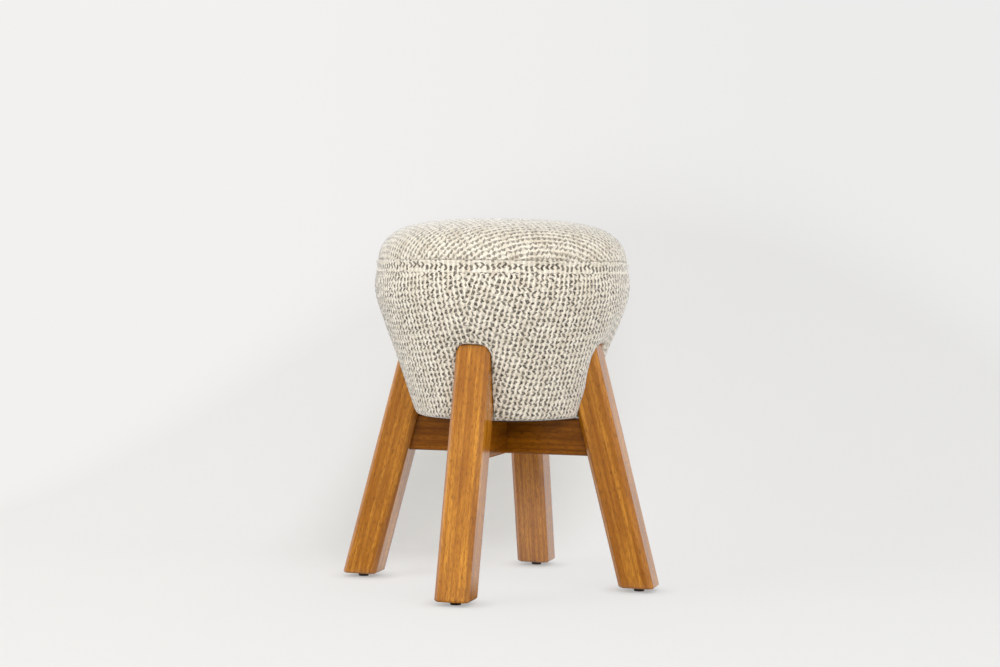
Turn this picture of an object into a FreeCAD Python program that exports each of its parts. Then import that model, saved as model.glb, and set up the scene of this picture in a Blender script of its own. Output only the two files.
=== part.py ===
"""Round padded footstool: a bulb-shaped upholstered seat on four splayed timber legs.

Millimetres, +Z up, origin on the floor under the middle of the seat.
The legs stand on the X and Y axes, and leg_front is the one towards -Y.
"""
import FreeCAD, Part
import math
import os
import re
import Sketcher

Vector = FreeCAD.Vector
UP = Vector(0, 0, 1)
ACROSS = Vector(1, 0, 0)

# Driving sizes in millimetres, and angles in degrees. Each one is a cell of the sheet.
SIZES = {
    # Legs: square timber raked outwards, both ends cut level
    "leg_side": 42,
    "leg_chamfer": 5,
    "leg_edge_round": 1.5,
    "foot_chamfer": 2,
    "leg_tilt": 14.6,
    "leg_inset": 52.8,
    # Glides: moulded pads, each on its own nail
    "glide_height": 5,
    "glide_foot_radius": 6.2,
    "glide_top_radius": 7,
    "nail_radius": 1.3,
    "nail_head_radius": 4,
    "nail_head_height": 1.2,
    "nail_head_lift": 1.8,
    "nail_bite": 18,
    # Cross rails: halved over each other, tenoned into the legs
    "rail_clearance": 162,
    "rail_depth": 44,
    "rail_thick": 24,
    "rail_chamfer": 1.5,
    "tenon_thick": 12,
    "tenon_depth": 28,
    "tenon_length": 22,
    "joint_gap": 0.15,
    # Boards and the wedge blocks that carry the legs
    "base_board_thick": 15,
    "base_board_margin": 6,
    "top_board_thick": 15,
    "top_board_margin": 1.5,
    "block_height": 73.7,
    "block_depth": 40,
    "block_setback": 2,
    # Bolts, washers and threaded inserts
    "bolt_radius": 3,
    "bolt_grip": 6.6,
    "bolt_head_radius": 5,
    "bolt_head_height": 5,
    "bolt_edge": 20,
    "washer_radius": 9,
    "washer_thick": 1.6,
    "insert_radius": 5,
    "insert_length": 13,
    "insert_setback": 3,
    # Wood screws
    "screw_radius": 2,
    "screw_head_radius": 4,
    "screw_head_height": 3,
    "screw_bite": 26,
    "screw_spread": 11,
    "rail_screw_radius": 2.5,
    "rail_screw_head_radius": 5,
    "rail_screw_bite": 9,
    "rail_screw_inset": 16,
    "rail_counterbore": 18,
    "fastener_gap": 0.15,
    # Seat: the outline of the cover before its edges are rounded
    "seam_radius": 153.5,
    "bottom_foam": 11.4,
    "bottom_round": 14,
    "belly_swell": 6.1,
    "belly_drop": 25,
    "belly_round_share": 2.8,
    "upper_foam_thick": 77,
    "crown_rise": 60,
    "crown_inset": 3,
    "crown_dome_radius": 666,
    "shoulder_round": 35,
    # Cover, seam band, dust cover and the clearances of soft pieces
    "cover_thick": 2.5,
    "hem_width": 28,
    "slot_round": 9,
    "band_height": 9,
    "band_proud": 2.4,
    "band_groove": 1.2,
    "band_round": 1.4,
    "dust_cover_thick": 0.8,
    "dust_cover_margin": 5,
    "soft_gap": 0.3,
    "leg_gap": 0.4,
    # One overrun serves every cut
    "overrun": 20,
}

# Levels and places that follow from the driving sizes.
FOLLOWS = {
    "leg_slope": "tan(leg_tilt * 1deg)",
    "leg_half": "leg_side / 2 / cos(leg_tilt * 1deg)",
    "rail_top": "rail_clearance + rail_depth",
    "rail_middle": "rail_clearance + rail_depth / 2",
    "cover_bottom": "rail_top + dust_cover_thick",
    "base_bottom": "cover_bottom + cover_thick",
    "base_top": "base_bottom + base_board_thick",
    "leg_top": "base_top + block_height",
    "top_board_top": "leg_top + top_board_thick",
    "seam_level": "top_board_top + upper_foam_thick",
    "seat_top": "seam_level + crown_rise",
    "belly_level": "seam_level - belly_drop",
    "leg_top_middle": "seam_radius - leg_inset",
    "foot_radius": "leg_top_middle + (leg_top - glide_height) * leg_slope",
    "leg_at_base": "leg_top_middle + block_height * leg_slope - leg_half",
    "base_board_radius": "leg_at_base - base_board_margin",
    "top_board_radius": "leg_top_middle + leg_half - top_board_margin",
    "block_inner": "leg_at_base - block_depth",
    "block_width": "leg_side - 2 * block_setback",
    "bottom_radius": "base_board_radius + bottom_foam",
    "belly_radius": "seam_radius + belly_swell",
    "belly_round": "belly_drop * belly_round_share",
    "crown_edge_radius": "seam_radius - crown_inset",
    "crown_edge_level": "seat_top - crown_dome_radius + sqrt(crown_dome_radius ^ 2 - crown_edge_radius ^ 2)",
    "bolt_low": "base_top + bolt_edge",
    "bolt_high": "leg_top - bolt_edge",
    "bolt_start": "block_inner - washer_thick",
    "bolt_length": "block_depth - bolt_edge * leg_slope + washer_thick + insert_setback + bolt_grip",
    "rail_screw_place": "block_inner + rail_screw_inset",
    "nail_head_top": "nail_head_lift + nail_head_height",
    "counterbore_top": "rail_clearance + rail_counterbore",
    "band_low": "seam_level - band_height / 2",
    "band_high": "seam_level + band_height / 2",
    "band_inner": "seam_radius + belly_swell * band_height / 2 / belly_drop - cover_thick",
    "slot_top": "leg_top + leg_gap",
    "reach": "foot_radius + leg_side + overrun",
}

# Places round the middle of the seat, as shares of a full turn from +X: the legs, and the panels between them.
LEG_TURN_SHARES = {"right": 0, "back": 1 / 4, "left": 1 / 2, "front": 3 / 4}
PANEL_TURN_SHARES = {"back_right": 0, "back_left": 1 / 4, "front_left": 1 / 2, "front_right": 3 / 4}
FULL_TURN = math.degrees(math.tau)

# Centres of the fasteners at one leg: across the floor from above, or up the leg from the middle.
NAILS = [("foot_radius", "0")]
LEG_SCREWS = [("leg_top_middle", "screw_spread"), ("leg_top_middle", "-screw_spread")]
BLOCK_SCREWS = [("rail_screw_place", "screw_spread"), ("rail_screw_place", "-screw_spread")]
RAIL_SCREWS = [("rail_screw_place", "0")]
BOLTS = [("0", "bolt_low"), ("0", "bolt_high")]

doc = FreeCAD.newDocument("footstool")
sheet = doc.addObject("Spreadsheet::Sheet", "Sizes")
for row, (name, amount) in enumerate(SIZES.items(), start=1):
    sheet.set(f"A{row}", name)
    sheet.set(f"B{row}", str(amount))
    sheet.setAlias(f"B{row}", name)
doc.recompute()
subparts = {}


def spell(formula):
    """Write a formula in sheet cells: what follows is opened up, and each size gets the sheet's name."""
    def swap(match):
        word = match.group()
        if word in FOLLOWS:
            return f"({spell(FOLLOWS[word])})"
        return f"Sizes.{word}" if word in SIZES else word
    return re.sub(r"[a-z_]+", swap, formula)


def bind(thing, place, formula):
    """Tie one property to the sheet."""
    thing.setExpression(place, spell(formula))


def leg_inner(level):
    """Distance of a leg's inner face from the middle of the seat, at a level."""
    return f"(leg_top_middle + (leg_top - {level}) * leg_slope - leg_half)"


def leg_outer(level):
    """Distance of a leg's outer face from the middle of the seat, at a level."""
    return f"({leg_inner(level)} + 2 * leg_half)"


def keep(label, thing):
    """Name a finished sub-part."""
    thing.Label = label
    subparts[label] = thing


def turned(turn_share):
    """A turn about the middle of the seat."""
    return FreeCAD.Placement(Vector(0, 0, 0), FreeCAD.Rotation(UP, FULL_TURN * turn_share))


def new_body(label, turn_share=0):
    """Start a body, turned about the middle of the seat."""
    body = doc.addObject("PartDesign::Body", label)
    body.Placement = turned(turn_share)
    return body


def origin_feature(body, role):
    """One of a body's own planes or axes."""
    return next(item for item in body.Origin.OriginFeatures if item.Role == role)


def new_sketch(body, name, plane, lift="0"):
    """Start a sketch on a body's own plane, lifted along that plane's normal."""
    sketch = body.newObject("Sketcher::SketchObject", f"{body.Name}_{name}")
    sketch.AttachmentSupport = [(origin_feature(body, plane), "")]
    sketch.MapMode = "FlatFace"
    bind(sketch, "AttachmentOffset.Base.z", lift)
    return sketch


def pin_point(sketch, curve, end, across, up):
    """Hold a curve's end at a place given by two formulas."""
    for kind, axis, formula in (("DistanceX", -2, across), ("DistanceY", -1, up)):
        if formula == "0":
            sketch.addConstraint(Sketcher.Constraint("PointOnObject", curve, end, axis))
            continue
        index = sketch.addConstraint(Sketcher.Constraint(kind, -1, 1, curve, end, 1.0))
        bind(sketch, f"Constraints[{index}]", formula)


def draw_outline(sketch, points, arcs=None):
    """Draw a closed outline through points given by formulas, straight but for the arcs.

    An arc is listed under the place of the point that it starts from, as a rough curve and its radius.
    """
    arcs = arcs or {}
    count = len(points)
    turns = [math.tau * step / count for step in range(count + 1)]
    corners = [Vector(math.cos(turn), math.sin(turn)) for turn in turns]
    for step in range(count):
        line = Part.LineSegment(corners[step], corners[step + 1])
        sketch.addGeometry(arcs[step][0] if step in arcs else line, False)
    for step in range(count):
        sketch.addConstraint(Sketcher.Constraint("Coincident", step, 2, (step + 1) % count, 1))
    for step, (across, up) in enumerate(points):
        pin_point(sketch, step, 1, across, up)
    for step, (curve, radius) in arcs.items():
        index = sketch.addConstraint(Sketcher.Constraint("Radius", step, curve.Radius))
        bind(sketch, f"Constraints[{index}]", radius)


def draw_circles(sketch, radius, centres):
    """Draw circles of one radius about centres given by formulas."""
    for across, up in centres:
        curve = sketch.addGeometry(Part.Circle(Vector(1, 1, 0), UP, 1), False)
        index = sketch.addConstraint(Sketcher.Constraint("Radius", curve, 1.0))
        bind(sketch, f"Constraints[{index}]", radius)
        pin_point(sketch, curve, 3, across, up)


def pad(body, sketch, length, middle=False):
    """Raise a sketch, to one side or to both alike."""
    raised = body.newObject("PartDesign::Pad", f"{sketch.Name}_pad")
    raised.Profile = sketch
    raised.Midplane = middle
    bind(raised, "Length", length)
    doc.recompute()
    return raised


def pocket(body, sketch, length, along_normal=True, middle=False):
    """Cut a sketch away, along its plane's normal or against it."""
    before = body.Shape.Volume
    cut = body.newObject("PartDesign::Pocket", f"{sketch.Name}_pocket")
    cut.Profile = sketch
    cut.Reversed = along_normal
    cut.Midplane = middle
    bind(cut, "Length", length)
    doc.recompute()
    if body.Shape.Volume >= before:
        raise RuntimeError(f"{cut.Name} cuts nothing")
    return cut


def four_round(body, features=()):
    """Repeat features, or the whole body, at the four legs."""
    pattern = body.newObject("PartDesign::PolarPattern", f"{body.Name}_four")
    pattern.TransformMode = "Features" if features else "Whole shape"
    pattern.Originals = list(features)
    pattern.Axis = (origin_feature(body, "Z_Axis"), [""])
    pattern.Angle = FULL_TURN
    pattern.Occurrences = len(LEG_TURN_SHARES)
    body.Tip = pattern
    doc.recompute()


def revolve(body, sketch):
    """Turn a sketch about the body's upright axis."""
    round_form = body.newObject("PartDesign::Revolution", f"{sketch.Name}_turn")
    round_form.Profile = sketch
    round_form.ReferenceAxis = (origin_feature(body, "Z_Axis"), [""])
    round_form.Angle = FULL_TURN
    doc.recompute()


def ease(body, kind, size, choose):
    """Round or chamfer the edges that a test chooses."""
    base = body.Tip
    edges = [f"Edge{place}" for place, edge in enumerate(base.Shape.Edges, start=1) if choose(edge)]
    eased = body.newObject(f"PartDesign::{kind}", f"{body.Name}_{kind.lower()}_{len(body.Group)}")
    eased.Base = (base, edges)
    bind(eased, "Radius" if kind == "Fillet" else "Size", size)
    doc.recompute()


def runs_along(edge, direction):
    """True for a straight edge parallel to a direction."""
    if not isinstance(edge.Curve, Part.Line):
        return False
    return abs(edge.tangentAt(edge.FirstParameter).dot(direction)) > math.cos(math.radians(1))


def circles_by_height(shape):
    """Round edges of a turned solid, lowest first."""
    whole = [edge for edge in shape.Edges if edge.Closed and not edge.Degenerated]
    rounds = [edge for edge in whole if isinstance(edge.Curve, Part.Circle)]
    return sorted(rounds, key=lambda edge: edge.Curve.Center.z)


def combine(kind, name, base, tool):
    """Cut one solid by another, or keep what they share."""
    result = doc.addObject(f"Part::{kind}", name)
    result.Base = base
    result.Tool = tool
    doc.recompute()
    return result


def gather(name, shapes):
    """Join several cutting solids into one."""
    joined = doc.addObject("Part::MultiFuse", name)
    joined.Shapes = shapes
    doc.recompute()
    return joined


def disc(name, radius, low, high):
    """A plain round solid between two levels."""
    solid = doc.addObject("Part::Cylinder", name)
    bind(solid, "Radius", radius)
    bind(solid, "Height", f"({high}) - ({low})")
    bind(solid, "Placement.Base.z", low)
    doc.recompute()
    return solid


def make_leg(side, turn_share):
    """A raked leg with its mortise, its bores for inserts and bolts, and its nail hole."""
    body = new_body(f"leg_{side}", turn_share)
    outline = new_sketch(body, "side", "XZ_Plane")
    draw_outline(outline, [
        (leg_inner("glide_height"), "glide_height"),
        (leg_outer("glide_height"), "glide_height"),
        (leg_outer("leg_top"), "leg_top"),
        (leg_inner("leg_top"), "leg_top"),
    ])
    pad(body, outline, "leg_side", middle=True)
    rake = math.radians(SIZES["leg_tilt"])
    grain = Vector(-math.sin(rake), 0, math.cos(rake))
    ease(body, "Chamfer", "leg_chamfer", lambda edge: runs_along(edge, grain))
    foot = body.Tip.Shape.BoundBox.ZMin + SIZES["joint_gap"]
    ease(body, "Chamfer", "foot_chamfer", lambda edge: edge.BoundBox.ZMax < foot)
    ease(body, "Fillet", "leg_edge_round", lambda edge: runs_along(edge, grain))
    mortise = new_sketch(body, "mortise", "YZ_Plane")
    half_wide = "(tenon_thick / 2 + joint_gap)"
    half_tall = "(tenon_depth / 2 + joint_gap)"
    draw_outline(mortise, [
        (f"-{half_wide}", f"rail_middle - {half_tall}"),
        (half_wide, f"rail_middle - {half_tall}"),
        (half_wide, f"rail_middle + {half_tall}"),
        (f"-{half_wide}", f"rail_middle + {half_tall}"),
    ])
    pocket(body, mortise, f"{leg_inner('rail_middle')} + tenon_length + joint_gap")
    for _, level in BOLTS:
        bore = new_sketch(body, f"{level}_bore", "YZ_Plane")
        draw_circles(bore, "bolt_radius + fastener_gap", [("0", level)])
        pocket(body, bore, "bolt_start + bolt_length + fastener_gap")
        seat = new_sketch(body, f"{level}_insert", "YZ_Plane")
        draw_circles(seat, "insert_radius", [("0", level)])
        pocket(body, seat, f"{leg_inner(level)} + insert_setback + insert_length")
    pilot = new_sketch(body, "nail", "XY_Plane")
    draw_circles(pilot, "nail_radius", NAILS)
    pocket(body, pilot, "glide_height + nail_bite")
    screws = new_sketch(body, "screws", "XY_Plane", "leg_top")
    draw_circles(screws, "screw_radius", LEG_SCREWS)
    pocket(body, screws, "screw_bite", along_normal=False)
    keep(f"leg_{side}", body)


def make_glide(side, turn_share):
    """A moulded pad that holds the head of its own nail."""
    body = new_body(f"glide_{side}", turn_share)
    half = new_sketch(body, "half", "XZ_Plane")
    draw_outline(half, [
        ("0", "0"),
        ("glide_foot_radius", "0"),
        ("glide_top_radius", "glide_height"),
        ("nail_radius", "glide_height"),
        ("nail_radius", "nail_head_top"),
        ("nail_head_radius", "nail_head_top"),
        ("nail_head_radius", "nail_head_lift"),
        ("0", "nail_head_lift"),
    ])
    revolve(body, half)
    bind(body, "Placement.Base.x", f"foot_radius * {round(math.cos(math.tau * turn_share))}")
    bind(body, "Placement.Base.y", f"foot_radius * {round(math.sin(math.tau * turn_share))}")
    keep(f"glide_{side}", body)


def make_fasteners(label, plane, stretches):
    """Like fasteners at the four legs, each built from round stretches in line.

    A stretch has its centres, radius, bore, start along the plane's normal, and length.
    """
    body = new_body(label)
    features = []
    for place, (centres, radius, bore, start, length) in enumerate(stretches):
        ring = new_sketch(body, f"stretch_{place}", plane, start)
        draw_circles(ring, radius, centres)
        if bore:
            draw_circles(ring, bore, centres)
        features.append(pad(body, ring, length))
    four_round(body, features)
    keep(label, body)


def make_rail(label, turn_share, lap_above):
    """A cross rail with raked shoulders, a tenon at each end and half of the crossing cut away."""
    body = new_body(label, turn_share)
    outline = new_sketch(body, "side", "XZ_Plane")
    draw_outline(outline, [
        (f"-{leg_inner('rail_clearance')}", "rail_clearance"),
        (leg_inner("rail_clearance"), "rail_clearance"),
        (leg_inner("rail_top"), "rail_top"),
        (f"-{leg_inner('rail_top')}", "rail_top"),
    ])
    pad(body, outline, "rail_thick", middle=True)
    ease(body, "Chamfer", "rail_chamfer", lambda edge: runs_along(edge, ACROSS))
    tenon = new_sketch(body, "tenon", "XZ_Plane")
    tip = f"({leg_inner('rail_middle')} + tenon_length)"
    draw_outline(tenon, [
        (f"-{tip}", "rail_middle - tenon_depth / 2"),
        (tip, "rail_middle - tenon_depth / 2"),
        (tip, "rail_middle + tenon_depth / 2"),
        (f"-{tip}", "rail_middle + tenon_depth / 2"),
    ])
    pad(body, tenon, "tenon_thick", middle=True)
    lap = new_sketch(body, "lap", "XZ_Plane")
    half_lap = "(rail_thick / 2 + joint_gap)"
    lap_floor = "rail_middle - joint_gap" if lap_above else "rail_clearance - overrun"
    lap_roof = "rail_top + overrun" if lap_above else "rail_middle + joint_gap"
    draw_outline(lap, [
        (f"-{half_lap}", lap_floor),
        (half_lap, lap_floor),
        (half_lap, lap_roof),
        (f"-{half_lap}", lap_roof),
    ])
    pocket(body, lap, "rail_thick + overrun", middle=True)
    places = [("rail_screw_place", "0"), ("-rail_screw_place", "0")]
    bore = new_sketch(body, "screw_bore", "XY_Plane", "rail_clearance")
    draw_circles(bore, "rail_screw_radius + fastener_gap", places)
    pocket(body, bore, "rail_depth + overrun")
    sink = new_sketch(body, "counterbore", "XY_Plane", "rail_clearance")
    draw_circles(sink, "rail_screw_head_radius + fastener_gap", places)
    pocket(body, sink, "rail_counterbore")
    keep(label, body)


def make_block(side, turn_share):
    """A wedge block: upright inside, raked outside to carry the leg, bored for its bolts and screws."""
    body = new_body(f"leg_block_{side}", turn_share)
    outline = new_sketch(body, "side", "XZ_Plane")
    draw_outline(outline, [
        ("block_inner", "base_top"),
        (leg_inner("base_top"), "base_top"),
        (leg_inner("leg_top"), "leg_top"),
        ("block_inner", "leg_top"),
    ])
    pad(body, outline, "block_width", middle=True)
    bores = new_sketch(body, "bolt_bores", "YZ_Plane")
    draw_circles(bores, "bolt_radius + fastener_gap", BOLTS)
    pocket(body, bores, "reach")
    pilots = new_sketch(body, "screw_pilots", "XY_Plane", "base_top")
    draw_circles(pilots, "screw_radius", BLOCK_SCREWS)
    pocket(body, pilots, "screw_bite - base_board_thick")
    rail_pilot = new_sketch(body, "rail_screw_pilot", "XY_Plane", "base_top")
    draw_circles(rail_pilot, "rail_screw_radius", RAIL_SCREWS)
    pocket(body, rail_pilot, "rail_screw_bite")
    keep(f"leg_block_{side}", body)


def make_board(label, radius, low, thick, bores):
    """A round plywood board with bores at the four legs: each has a radius, a start, a depth and centres."""
    body = new_body(label)
    plan = new_sketch(body, "plan", "XY_Plane", low)
    draw_circles(plan, radius, [("0", "0")])
    pad(body, plan, thick)
    features = []
    for place, (bore_radius, start, depth, centres) in enumerate(bores):
        ring = new_sketch(body, f"bore_{place}", "XY_Plane", start)
        draw_circles(ring, bore_radius, centres)
        features.append(pocket(body, ring, depth))
    four_round(body, features)
    keep(label, body)


def make_envelope():
    """The whole padded seat as one turned solid: bulb, drawn-in seam and domed crown."""
    body = new_body("seat_envelope")
    half = new_sketch(body, "half", "XZ_Plane")
    radius = SIZES["crown_dome_radius"]
    layers = ["rail_clearance", "rail_depth", "dust_cover_thick", "cover_thick", "base_board_thick",
              "block_height", "top_board_thick", "upper_foam_thick", "crown_rise"]
    top = sum(SIZES[layer] for layer in layers)
    dome = Part.Circle(Vector(0, top - radius, 0), UP, radius)
    crown_edge = SIZES["seam_radius"] - SIZES["crown_inset"]
    bow = Part.ArcOfCircle(dome, math.acos(crown_edge / radius), math.pi / 2)
    draw_outline(half, [
        ("0", "cover_bottom"),
        ("bottom_radius", "cover_bottom"),
        ("belly_radius", "belly_level"),
        ("seam_radius", "seam_level"),
        ("crown_edge_radius", "crown_edge_level"),
        ("0", "seat_top"),
    ], {4: (bow, "crown_dome_radius")})
    revolve(body, half)
    rounds = ["bottom_round", "belly_round", None, "shoulder_round"]
    for place, size in reversed(list(enumerate(rounds))):
        if size:
            corner = circles_by_height(body.Tip.Shape)[place]
            ease(body, "Fillet", size, corner.isSame)
    return body


def offset_inside(name, source, depth):
    """The same form, drawn in evenly by a depth."""
    smaller = doc.addObject("Part::Offset", name)
    smaller.Source = source
    smaller.Join = "Intersection"
    bind(smaller, "Value", f"-({depth})")
    doc.recompute()
    return smaller


def make_leg_slots(name, inner_points, arch=None):
    """Four clear slots round the legs, open to the outside, up to just over the leg tops."""
    body = new_body(name)
    outline = new_sketch(body, "side", "XZ_Plane")
    draw_outline(outline, [
        ("reach", "rail_clearance"),
        (f"{leg_inner('rail_clearance')} - leg_gap", "rail_clearance"),
        *inner_points,
        ("reach", "slot_top"),
    ])
    pad(body, outline, "leg_side + 2 * leg_gap", middle=True)
    if arch:
        roof = body.Tip.Shape.BoundBox.ZMax - SIZES["leg_gap"]
        ease(body, "Fillet", arch, lambda edge: edge.BoundBox.ZMin > roof and runs_along(edge, ACROSS))
    four_round(body)
    return body


def make_seat():
    """Foam in three layers, the cover of four side panels and a top, and the band between them."""
    envelope = make_envelope()
    inside_cover = offset_inside("inside_cover", envelope, "cover_thick")
    foam_form = offset_inside("foam_form", envelope, "cover_thick + soft_gap")
    shell = combine("Cut", "cover_shell", envelope, inside_cover)

    crown_slab = disc("crown_slab", "reach", "seam_level", "seat_top + overrun")
    keep("crown_foam", combine("Common", "crown_foam", foam_form, crown_slab))
    upper_slab = disc("upper_slab", "reach", "top_board_top", "seam_level")
    keep("upper_foam", combine("Common", "upper_foam", foam_form, upper_slab))
    lower_slab = disc("lower_slab", "reach", "rail_clearance", "top_board_top")
    lower_foam = combine("Common", "lower_foam", foam_form, lower_slab)
    foam_slots = make_leg_slots("foam_slots", [
        (f"{leg_inner('base_top')} - leg_gap", "base_top"),
        ("block_inner - leg_gap", "base_top"),
        ("block_inner - leg_gap", "slot_top"),
    ])
    carcass = gather("foam_cutters", [
        disc("carcass_room", "base_board_radius + soft_gap", "rail_clearance", "leg_top"),
        disc("top_board_room", "top_board_radius + soft_gap", "leg_top", "top_board_top + overrun"),
        foam_slots,
    ])
    keep("side_foam", combine("Cut", "side_foam", lower_foam, carcass))

    top_slab = disc("top_slab", "reach", "band_high", "seat_top + overrun")
    keep("top_panel", combine("Common", "top_panel", shell, top_slab))
    side_slab = disc("side_slab", "reach", "rail_clearance", "band_low")
    side_shell = combine("Common", "side_shell", shell, side_slab)
    cover_slots = make_leg_slots("cover_slots", [
        (f"{leg_inner('slot_top')} - leg_gap", "slot_top"),
    ], arch="slot_round")
    screw_room = new_body("cover_screw_room")
    ring = new_sketch(screw_room, "ring", "XY_Plane", "rail_clearance")
    draw_circles(ring, "rail_screw_radius + fastener_gap", RAIL_SCREWS)
    four_round(screw_room, [pad(screw_room, ring, "rail_depth + overrun")])
    hem_room = disc("hem_room", "base_board_radius - hem_width", "rail_clearance", "base_top")
    cover_cutters = gather("cover_cutters", [cover_slots, screw_room, hem_room])
    side_cover = combine("Cut", "side_cover", side_shell, cover_cutters)
    for corner, turn_share in PANEL_TURN_SHARES.items():
        quarter = doc.addObject("Part::Box", f"quarter_{corner}")
        for side, size in (("Length", "reach"), ("Width", "reach"), ("Height", "seat_top")):
            bind(quarter, side, size)
        quarter.Placement = turned(turn_share)
        keep(f"side_panel_{corner}", combine("Common", f"side_panel_{corner}", side_cover, quarter))

    band = new_body("seam_band")
    half = new_sketch(band, "half", "XZ_Plane")
    proud = "(seam_radius + band_proud)"
    draw_outline(half, [
        ("band_inner", "band_low"),
        (proud, "band_low"),
        (proud, "seam_level - band_groove"),
        (f"{proud} - band_groove", "seam_level"),
        (proud, "seam_level + band_groove"),
        (proud, "band_high"),
        ("band_inner", "band_high"),
    ])
    revolve(band, half)
    ridge = SIZES["seam_radius"] + SIZES["band_proud"] - SIZES["soft_gap"]
    ease(band, "Fillet", "band_round", lambda edge: edge.Closed and edge.Curve.Radius > ridge)
    keep("seam_band", band)


for side, turn_share in LEG_TURN_SHARES.items():
    make_leg(side, turn_share)
    make_glide(side, turn_share)
    make_block(side, turn_share)
make_fasteners("glide_nails", "XY_Plane", [
    (NAILS, "nail_head_radius", None, "nail_head_lift", "nail_head_height"),
    (NAILS, "nail_radius", None, "nail_head_top", "glide_height + nail_bite - nail_head_top"),
])
make_rail("cross_rail_left_right", LEG_TURN_SHARES["right"], lap_above=True)
make_rail("cross_rail_front_back", LEG_TURN_SHARES["back"], lap_above=False)
make_board("base_board", "base_board_radius", "base_bottom", "base_board_thick", [
    ("screw_radius + fastener_gap", "base_bottom", "base_board_thick", BLOCK_SCREWS),
    ("screw_head_radius + fastener_gap", "base_bottom", "screw_head_height + fastener_gap", BLOCK_SCREWS),
    ("rail_screw_radius + fastener_gap", "base_bottom", "base_board_thick", RAIL_SCREWS),
])
make_board("top_board", "top_board_radius", "leg_top", "top_board_thick", [
    ("screw_radius + fastener_gap", "leg_top", "top_board_thick", LEG_SCREWS),
    ("screw_head_radius + fastener_gap", "top_board_top - screw_head_height - fastener_gap",
     "screw_head_height + fastener_gap", LEG_SCREWS),
])
make_board("dust_cover", "base_board_radius - dust_cover_margin", "rail_top", "dust_cover_thick", [
    ("rail_screw_radius + fastener_gap", "rail_top", "dust_cover_thick", RAIL_SCREWS),
])
make_fasteners("leg_bolts", "YZ_Plane", [
    (BOLTS, "bolt_head_radius", None, "bolt_start - bolt_head_height", "bolt_head_height"),
    (BOLTS, "bolt_radius", None, "bolt_start", "bolt_length"),
])
make_fasteners("bolt_washers", "YZ_Plane", [
    (BOLTS, "washer_radius", "bolt_radius + fastener_gap", "bolt_start", "washer_thick"),
])
make_fasteners("leg_inserts", "YZ_Plane", [
    ([("0", level)], "insert_radius", "bolt_radius", f"{leg_inner(level)} + insert_setback", "insert_length")
    for _, level in BOLTS
])
make_fasteners("base_board_screws", "XY_Plane", [
    (BLOCK_SCREWS, "screw_head_radius", None, "base_bottom", "screw_head_height"),
    (BLOCK_SCREWS, "screw_radius", None, "base_bottom + screw_head_height",
     "screw_bite - screw_head_height"),
])
make_fasteners("top_board_screws", "XY_Plane", [
    (LEG_SCREWS, "screw_head_radius", None, "top_board_top - screw_head_height", "screw_head_height"),
    (LEG_SCREWS, "screw_radius", None, "leg_top - screw_bite",
     "screw_bite + top_board_thick - screw_head_height"),
])
make_fasteners("rail_screws", "XY_Plane", [
    (RAIL_SCREWS, "rail_screw_head_radius", None, "counterbore_top - screw_head_height", "screw_head_height"),
    (RAIL_SCREWS, "rail_screw_radius", None, "counterbore_top",
     "base_top + rail_screw_bite - counterbore_top"),
])
make_seat()

doc.recompute()
for thing in doc.Objects:
    if {"Invalid", "Error"} & set(thing.State):
        raise RuntimeError(f"{thing.Name} failed: {thing.State}")
for label, thing in subparts.items():
    if thing.Shape.isNull() or not thing.Shape.isValid():
        raise RuntimeError(f"{label} has no valid shape")

os.makedirs("parts", exist_ok=True)
for label, thing in subparts.items():
    thing.Shape.exportStep(f"parts/{label}.step")
    print(label, len(thing.Shape.Solids), round(thing.Shape.Volume))
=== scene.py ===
"""Looks of a round padded footstool on four splayed timber legs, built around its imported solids.

Metres, +Z up, origin on the floor under the middle of the seat. The front leg is towards -Y.
"""
import math
import bmesh
import bpy
import numpy as np
from mathutils import Matrix, Vector


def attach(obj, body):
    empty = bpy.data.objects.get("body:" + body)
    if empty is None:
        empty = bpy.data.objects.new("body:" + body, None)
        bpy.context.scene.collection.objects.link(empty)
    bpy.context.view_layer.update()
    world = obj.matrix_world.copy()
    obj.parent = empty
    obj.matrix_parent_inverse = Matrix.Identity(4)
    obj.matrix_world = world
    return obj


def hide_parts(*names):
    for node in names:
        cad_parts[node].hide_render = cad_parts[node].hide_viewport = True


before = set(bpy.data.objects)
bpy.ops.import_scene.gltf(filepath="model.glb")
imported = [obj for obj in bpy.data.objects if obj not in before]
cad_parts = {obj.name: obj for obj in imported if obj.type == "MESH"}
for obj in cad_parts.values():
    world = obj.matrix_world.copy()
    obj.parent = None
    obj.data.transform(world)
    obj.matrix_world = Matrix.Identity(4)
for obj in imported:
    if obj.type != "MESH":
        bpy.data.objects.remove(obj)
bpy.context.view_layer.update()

# Legs and cross rails
# Square legs and halved rails of an open-grained honey-brown hardwood, sawn, chamfered and sanded.
# They are tenoned together and sprayed with a thin satin lacquer.

QUARTER_TURN = 0.5 * math.pi
LEG_TILT = math.radians(14.6)
LEG_TURNS = {"right": 0.0, "back": QUARTER_TURN, "left": 2 * QUARTER_TURN, "front": 3 * QUARTER_TURN}
RAIL_TURNS = {"left_right": 0.0, "front_back": QUARTER_TURN}
# Tones of the streaks, light and middle, then of the darker growth and of the pores
LEG_TONES = ("#D38F2B", "#A6650C", "#884D0C", "#613505")
# The rails' tones are darker than the legs': partly darker timber, partly painted shade for the dimness under
# the seat
RAIL_TONES_WITH_PAINTED_SHADE = ("#A5620E", "#784306", "#5E3304", "#452502")
LEG_COAT_SHARE = 1.0
RAIL_COAT_SHARE = 0.4
TIMBER_ROUGHNESS = 0.6
LACQUER_ROUGHNESS = 0.17
LACQUER_IOR = 1.75
# Where in the plank the first leg and the first rail were cut, and the step to the next
LEG_PITH = Vector((0.05, 0.07, 0.0))
LEG_PITH_STEP = Vector((0.31, 0.0, 0.19))
RAIL_PITH = Vector((0.09, -0.03, 0.21))
RAIL_PITH_STEP = Vector((0.0, 0.04, 0.0))
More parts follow.
